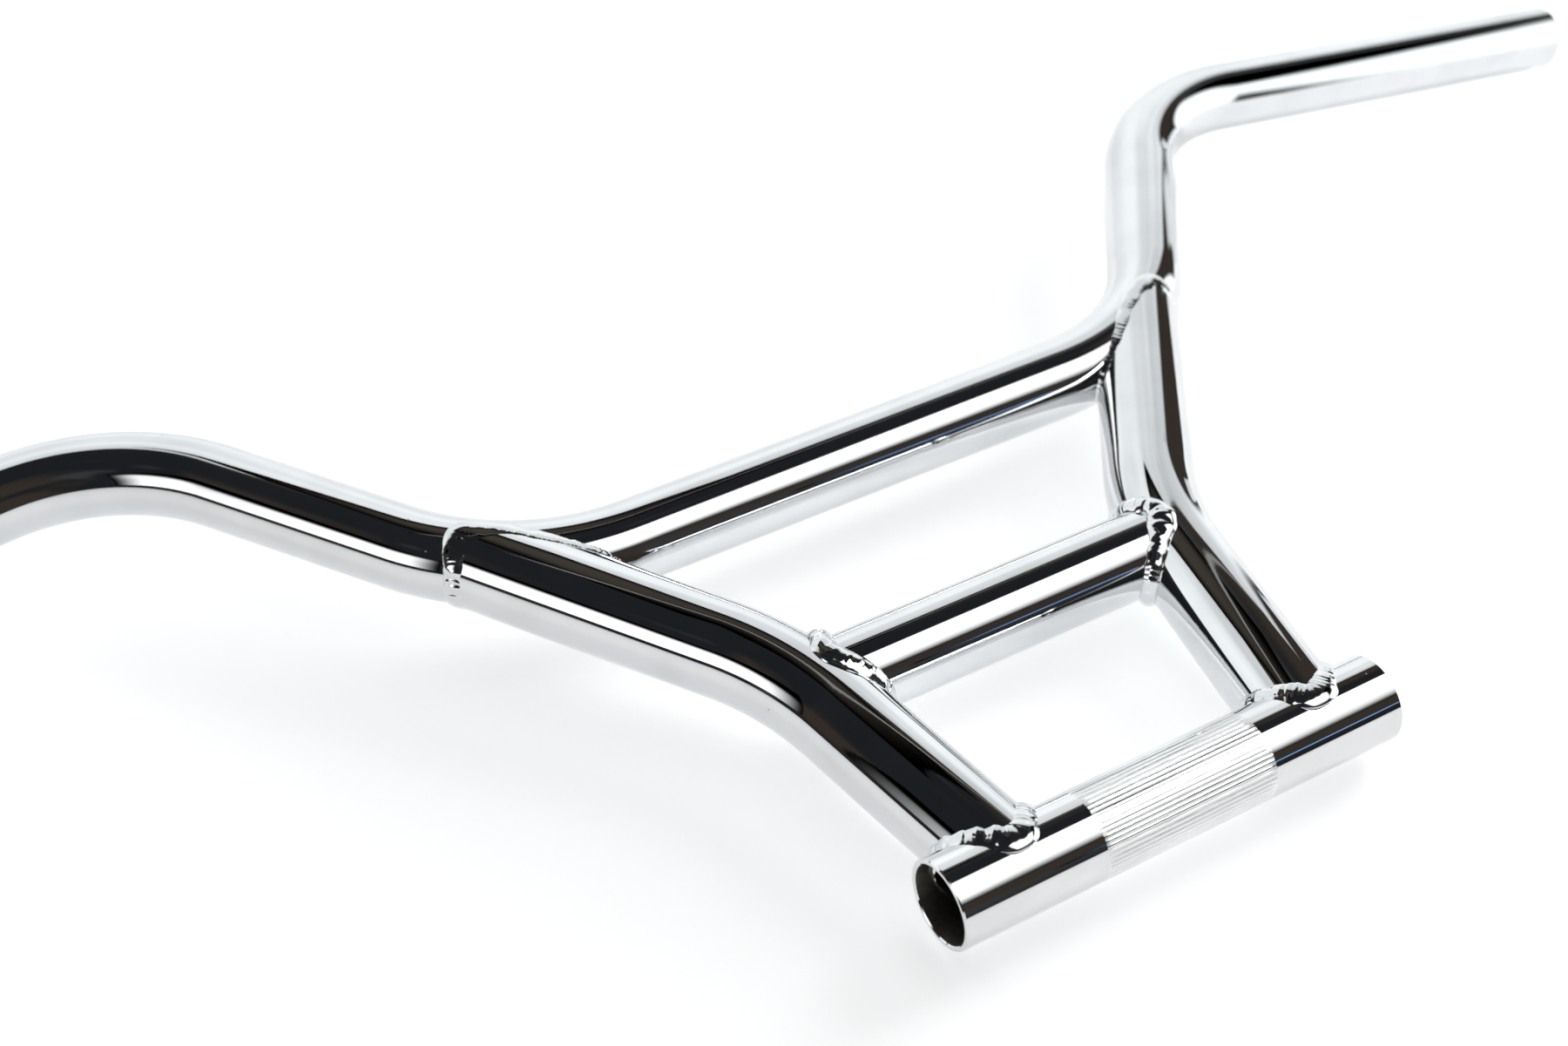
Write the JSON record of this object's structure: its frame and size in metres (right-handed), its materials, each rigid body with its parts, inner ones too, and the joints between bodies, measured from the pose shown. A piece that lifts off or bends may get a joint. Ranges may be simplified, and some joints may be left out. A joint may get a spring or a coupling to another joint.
{
  "type": "handlebar",
  "caption": "Welded tubular steel handlebar: bent main bar on two splayed risers with a cross brace, over a short knurled clamp tube.",
  "frame": {"origin": "on the bench plane the bar lies on, under the centre of its bounding box", "axes": "+X along the clamp tube to the right in front of the bar, +Y from the clamp tube towards the crossbar (up on the machine), +Z off the bench (forwards on the machine)"},
  "size_m": [0.8038, 0.2898, 0.0483],
  "materials": {
    "tube_chrome": "bright chrome plate over smooth drawn tube",
    "knurled_chrome": "bright chrome plate, with a straight axial knurl at mid length",
    "weld_chrome": "bright chrome plate over rippled weld metal"
  },
  "bodies": {
    "root": {"main_bar": "tube_chrome", "riser_left": "tube_chrome", "riser_right": "tube_chrome", "cross_brace": "tube_chrome", "clamp_tube": "knurled_chrome", "weld_main_left": "weld_chrome", "weld_main_right": "weld_chrome", "weld_brace_left": "weld_chrome", "weld_brace_right": "weld_chrome", "weld_clamp_left": "weld_chrome", "weld_clamp_right": "weld_chrome"}
  },
  "joints": []
}
